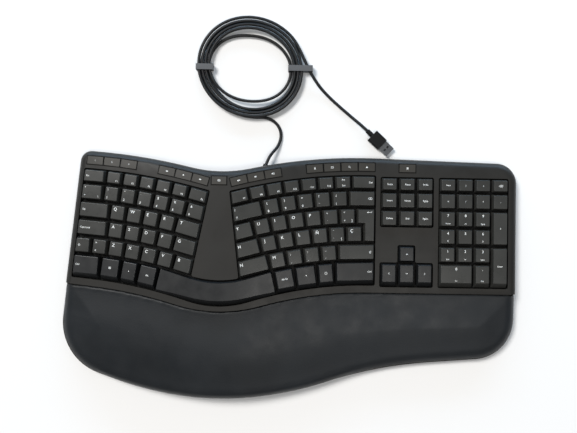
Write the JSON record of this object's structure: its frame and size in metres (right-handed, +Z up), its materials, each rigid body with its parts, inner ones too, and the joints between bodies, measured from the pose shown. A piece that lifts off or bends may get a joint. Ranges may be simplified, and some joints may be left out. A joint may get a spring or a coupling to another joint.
{
  "type": "ergonomic keyboard",
  "caption": "Wired ergonomic keyboard with a domed deck, curved and split key rows, a separate number pad, a padded palm rest and fold-out front feet; its cord is coiled behind it.",
  "frame": {"origin": "on the table, under the middle of the keyboard's footprint without its cord", "axes": "+X to the typist's right along the rows, +Y away from the typist towards the cord outlet, +Z up"},
  "size_m": [0.5002, 0.4244, 0.0396],
  "materials": {
    "deck": "fine matt texture, dark warm grey",
    "underside": "matt black",
    "cushion": "soft-touch covering, dark blue grey",
    "guide_plate": "matt black",
    "domes": "silicone sheet",
    "film": "polyester film",
    "steel": "galvanised sheet",
    "board": "green solder mask",
    "screw": "zinc plated",
    "rubber": "matt black",
    "key": "satin, grey, printed legends",
    "dark_key": "satin, nearly black",
    "button": "matt, like the deck",
    "cord": "smooth black covering",
    "tie": "grey band",
    "cord_moulding": "moulded black",
    "plug_shell": "stamped sheet metal",
    "plug_tongue": "black insulator"
  },
  "bodies": {
    "keyboard": {"top_case": "deck", "bottom_case": "underside", "palm_rest": "cushion", "key_plate": "guide_plate", "dome_sheet": "domes", "membrane": "film", "backing_plate": "steel", "controller_board": "board", "case_screws": "screw", "rubber_feet": "rubber", "cord_strain_relief": "cord", "cord_lead": "cord", "cord_coil": "cord", "cord_tail": "cord", "coil_ties": "tie", "usb_plug_body": "cord_moulding", "usb_plug_shell": "plug_shell", "usb_plug_tongue": "plug_tongue"},
    "key_arrow_down": {"key_arrow_down": "key"},
    "key_arrow_left": {"key_arrow_left": "key"},
    "key_arrow_right": {"key_arrow_right": "key"},
    "key_arrow_up": {"key_arrow_up": "key"},
    "key_backspace": {"key_backspace": "key"},
    "key_caps_lock": {"key_caps_lock": "key"},
    "key_enter": {"key_enter": "key"},
    "key_pad_decimal": {"key_pad_decimal": "key"},
    "key_pad_enter": {"key_pad_enter": "key"},
    "key_pad_plus": {"key_pad_plus": "key"},
    "key_pad_zero": {"key_pad_zero": "key"},
    "key_shift_left": {"key_shift_left": "key"},
    "key_shift_right": {"key_shift_right": "key"},
    "key_tab": {"key_tab": "key"},
    "keys_bottom_left": {"keys_bottom_left": "dark_key"},
    "keys_bottom_right": {"keys_bottom_right": "dark_key"},
    "keys_function_left": {"keys_function_left": "key"},
    "keys_function_right": {"keys_function_right": "key"},
    "keys_home_left": {"keys_home_left": "key"},
    "keys_home_right": {"keys_home_right": "key"},
    "keys_lower_left": {"keys_lower_left": "key"},
    "keys_lower_right": {"keys_lower_right": "key"},
    "keys_nav_bottom": {"keys_nav_bottom": "key"},
    "keys_nav_middle": {"keys_nav_middle": "key"},
    "keys_nav_top": {"keys_nav_top": "key"},
    "keys_number_left": {"keys_number_left": "key"},
    "keys_number_right": {"keys_number_right": "key"},
    "keys_pad_123": {"keys_pad_123": "key"},
    "keys_pad_456": {"keys_pad_456": "key"},
    "keys_pad_789": {"keys_pad_789": "key"},
    "keys_pad_function": {"keys_pad_function": "key"},
    "keys_pad_operators": {"keys_pad_operators": "key"},
    "keys_upper_left": {"keys_upper_left": "key"},
    "keys_upper_right": {"keys_upper_right": "key"},
    "space_bar": {"space_bar": "dark_key"},
    "button_calculator": {"button_calculator": "button"},
    "buttons_favorites": {"buttons_favorites": "button"},
    "buttons_media": {"buttons_media": "button"},
    "buttons_shortcut": {"buttons_shortcut": "button"},
    "tilt_foot_left": {"tilt_foot_left": "underside"},
    "tilt_foot_right": {"tilt_foot_right": "underside"}
  },
  "joints": [
    {"name": "key_arrow_down_press", "type": "slide", "parent": "keyboard", "child": "key_arrow_down", "axis": [-0.0016, -0.0262, -0.9997], "range_m": [0, 0.003], "stiffness_N_per_m": 200, "springref_m": -0.002},
    {"name": "key_arrow_left_press", "type": "slide", "parent": "keyboard", "child": "key_arrow_left", "axis": [-0.0233, -0.0262, -0.9994], "range_m": [0, 0.003], "stiffness_N_per_m": 200, "springref_m": -0.002},
    {"name": "key_arrow_right_press", "type": "slide", "parent": "keyboard", "child": "key_arrow_right", "axis": [-0.0016, -0.0262, -0.9997], "range_m": [0, 0.003], "stiffness_N_per_m": 200, "springref_m": -0.002},
    {"name": "key_arrow_up_press", "type": "slide", "parent": "keyboard", "child": "key_arrow_up", "axis": [-0.0016, -0.0262, -0.9997], "range_m": [0, 0.003], "stiffness_N_per_m": 200, "springref_m": -0.002},
    {"name": "key_backspace_press", "type": "slide", "parent": "keyboard", "child": "key_backspace", "axis": [-0.0738, -0.0261, -0.9969], "range_m": [0, 0.003], "stiffness_N_per_m": 200, "springref_m": -0.002},
    {"name": "key_caps_lock_press", "type": "slide", "parent": "keyboard", "child": "key_caps_lock", "axis": [0.1, -0.026, -0.9946], "range_m": [0, 0.003], "stiffness_N_per_m": 200, "springref_m": -0.002},
    {"name": "key_enter_press", "type": "slide", "parent": "keyboard", "child": "key_enter", "axis": [-0.0663, -0.0261, -0.9975], "range_m": [0, 0.003], "stiffness_N_per_m": 200, "springref_m": -0.002},
    {"name": "key_pad_decimal_press", "type": "slide", "parent": "keyboard", "child": "key_pad_decimal", "axis": [-0.0016, -0.0262, -0.9997], "range_m": [0, 0.003], "stiffness_N_per_m": 200, "springref_m": -0.002},
    {"name": "key_pad_enter_press", "type": "slide", "parent": "keyboard", "child": "key_pad_enter", "axis": [-0.0016, -0.0262, -0.9997], "range_m": [0, 0.003], "stiffness_N_per_m": 200, "springref_m": -0.002},
    {"name": "key_pad_plus_press", "type": "slide", "parent": "keyboard", "child": "key_pad_plus", "axis": [-0.0016, -0.0262, -0.9997], "range_m": [0, 0.003], "stiffness_N_per_m": 200, "springref_m": -0.002},
    {"name": "key_pad_zero_press", "type": "slide", "parent": "keyboard", "child": "key_pad_zero", "axis": [-0.0016, -0.0262, -0.9997], "range_m": [0, 0.003], "stiffness_N_per_m": 200, "springref_m": -0.002},
    {"name": "key_shift_left_press", "type": "slide", "parent": "keyboard", "child": "key_shift_left", "axis": [0.1, -0.026, -0.9946], "range_m": [0, 0.003], "stiffness_N_per_m": 200, "springref_m": -0.002},
    {"name": "key_shift_right_press", "type": "slide", "parent": "keyboard", "child": "key_shift_right", "axis": [-0.0829, -0.0261, -0.9962], "range_m": [0, 0.003], "stiffness_N_per_m": 200, "springref_m": -0.002},
    {"name": "key_tab_press", "type": "slide", "parent": "keyboard", "child": "key_tab", "axis": [0.1, -0.026, -0.9946], "range_m": [0, 0.003], "stiffness_N_per_m": 200, "springref_m": -0.002},
    {"name": "keys_bottom_left_press", "type": "slide", "parent": "keyboard", "child": "keys_bottom_left", "axis": [0.1, -0.026, -0.9946], "range_m": [0, 0.003], "stiffness_N_per_m": 800, "springref_m": -0.002},
    {"name": "keys_bottom_right_press", "type": "slide", "parent": "keyboard", "child": "keys_bottom_right", "axis": [-0.089, -0.0261, -0.9957], "range_m": [0, 0.003], "stiffness_N_per_m": 800, "springref_m": -0.002},
    {"name": "keys_function_left_press", "type": "slide", "parent": "keyboard", "child": "keys_function_left", "axis": [0.0916, -0.0261, -0.9955], "range_m": [0, 0.003], "stiffness_N_per_m": 1400, "springref_m": -0.002},
    {"name": "keys_function_right_press", "type": "slide", "parent": "keyboard", "child": "keys_function_right", "axis": [-0.0794, -0.0261, -0.9965], "range_m": [0, 0.003], "stiffness_N_per_m": 1600, "springref_m": -0.002},
    {"name": "keys_home_left_press", "type": "slide", "parent": "keyboard", "child": "keys_home_left", "axis": [0.0954, -0.0261, -0.9951], "range_m": [0, 0.003], "stiffness_N_per_m": 1000, "springref_m": -0.002},
    {"name": "keys_home_right_press", "type": "slide", "parent": "keyboard", "child": "keys_home_right", "axis": [-0.0851, -0.0261, -0.996], "range_m": [0, 0.003], "stiffness_N_per_m": 1400, "springref_m": -0.002},
    {"name": "keys_lower_left_press", "type": "slide", "parent": "keyboard", "child": "keys_lower_left", "axis": [0.0967, -0.0261, -0.995], "range_m": [0, 0.003], "stiffness_N_per_m": 1200, "springref_m": -0.002},
    {"name": "keys_lower_right_press", "type": "slide", "parent": "keyboard", "child": "keys_lower_right", "axis": [-0.0861, -0.0261, -0.9959], "range_m": [0, 0.003], "stiffness_N_per_m": 1000, "springref_m": -0.002},
    {"name": "keys_nav_bottom_press", "type": "slide", "parent": "keyboard", "child": "keys_nav_bottom", "axis": [-0.0089, -0.0262, -0.9996], "range_m": [0, 0.003], "stiffness_N_per_m": 600, "springref_m": -0.002},
    {"name": "keys_nav_middle_press", "type": "slide", "parent": "keyboard", "child": "keys_nav_middle", "axis": [-0.0089, -0.0262, -0.9996], "range_m": [0, 0.003], "stiffness_N_per_m": 600, "springref_m": -0.002},
    {"name": "keys_nav_top_press", "type": "slide", "parent": "keyboard", "child": "keys_nav_top", "axis": [-0.0089, -0.0262, -0.9996], "range_m": [0, 0.003], "stiffness_N_per_m": 600, "springref_m": -0.002},
    {"name": "keys_number_left_press", "type": "slide", "parent": "keyboard", "child": "keys_number_left", "axis": [0.0931, -0.0261, -0.9953], "range_m": [0, 0.003], "stiffness_N_per_m": 1400, "springref_m": -0.002},
    {"name": "keys_number_right_press", "type": "slide", "parent": "keyboard", "child": "keys_number_right", "axis": [-0.0843, -0.0261, -0.9961], "range_m": [0, 0.003], "stiffness_N_per_m": 1200, "springref_m": -0.002},
    {"name": "keys_pad_123_press", "type": "slide", "parent": "keyboard", "child": "keys_pad_123", "axis": [-0.0016, -0.0262, -0.9997], "range_m": [0, 0.003], "stiffness_N_per_m": 600, "springref_m": -0.002},
    {"name": "keys_pad_456_press", "type": "slide", "parent": "keyboard", "child": "keys_pad_456", "axis": [-0.0016, -0.0262, -0.9997], "range_m": [0, 0.003], "stiffness_N_per_m": 600, "springref_m": -0.002},
    {"name": "keys_pad_789_press", "type": "slide", "parent": "keyboard", "child": "keys_pad_789", "axis": [-0.0016, -0.0262, -0.9997], "range_m": [0, 0.003], "stiffness_N_per_m": 600, "springref_m": -0.002},
    {"name": "keys_pad_function_press", "type": "slide", "parent": "keyboard", "child": "keys_pad_function", "axis": [-0.0016, -0.0262, -0.9997], "range_m": [0, 0.003], "stiffness_N_per_m": 800, "springref_m": -0.002},
    {"name": "keys_pad_operators_press", "type": "slide", "parent": "keyboard", "child": "keys_pad_operators", "axis": [-0.0016, -0.0262, -0.9997], "range_m": [0, 0.003], "stiffness_N_per_m": 800, "springref_m": -0.002},
    {"name": "keys_upper_left_press", "type": "slide", "parent": "keyboard", "child": "keys_upper_left", "axis": [0.0943, -0.0261, -0.9952], "range_m": [0, 0.003], "stiffness_N_per_m": 1000, "springref_m": -0.002},
    {"name": "keys_upper_right_press", "type": "slide", "parent": "keyboard", "child": "keys_upper_right", "axis": [-0.0836, -0.0261, -0.9962], "range_m": [0, 0.003], "stiffness_N_per_m": 1400, "springref_m": -0.002},
    {"name": "space_bar_press", "type": "slide", "parent": "keyboard", "child": "space_bar", "axis": [0.0105, -0.0262, -0.9996], "range_m": [0, 0.003], "stiffness_N_per_m": 200, "springref_m": -0.002},
    {"name": "button_calculator_press", "type": "slide", "parent": "keyboard", "child": "button_calculator", "axis": [-0.0016, -0.0262, -0.9997], "range_m": [0, 0.001], "stiffness_N_per_m": 400, "springref_m": -0.0015},
    {"name": "buttons_favorites_press", "type": "slide", "parent": "keyboard", "child": "buttons_favorites", "axis": [0.1, -0.026, -0.9946], "range_m": [0, 0.001], "stiffness_N_per_m": 1200, "springref_m": -0.0015},
    {"name": "buttons_media_press", "type": "slide", "parent": "keyboard", "child": "buttons_media", "axis": [0.006, -0.0262, -0.9996], "range_m": [0, 0.001], "stiffness_N_per_m": 2800, "springref_m": -0.0015},
    {"name": "buttons_shortcut_press", "type": "slide", "parent": "keyboard", "child": "buttons_shortcut", "axis": [-0.0841, -0.0261, -0.9961], "range_m": [0, 0.001], "stiffness_N_per_m": 1600, "springref_m": -0.0015},
    {"name": "tilt_foot_left_hinge", "type": "hinge", "parent": "keyboard", "child": "tilt_foot_left", "pos_m": [-0.172, -0.104, 0.0037], "axis": [-1, 0, 0], "range_deg": [0, 90]},
    {"name": "tilt_foot_right_hinge", "type": "hinge", "parent": "keyboard", "child": "tilt_foot_right", "pos_m": [0.172, -0.08, 0.0037], "axis": [-1, 0, 0], "range_deg": [0, 90]}
  ]
}
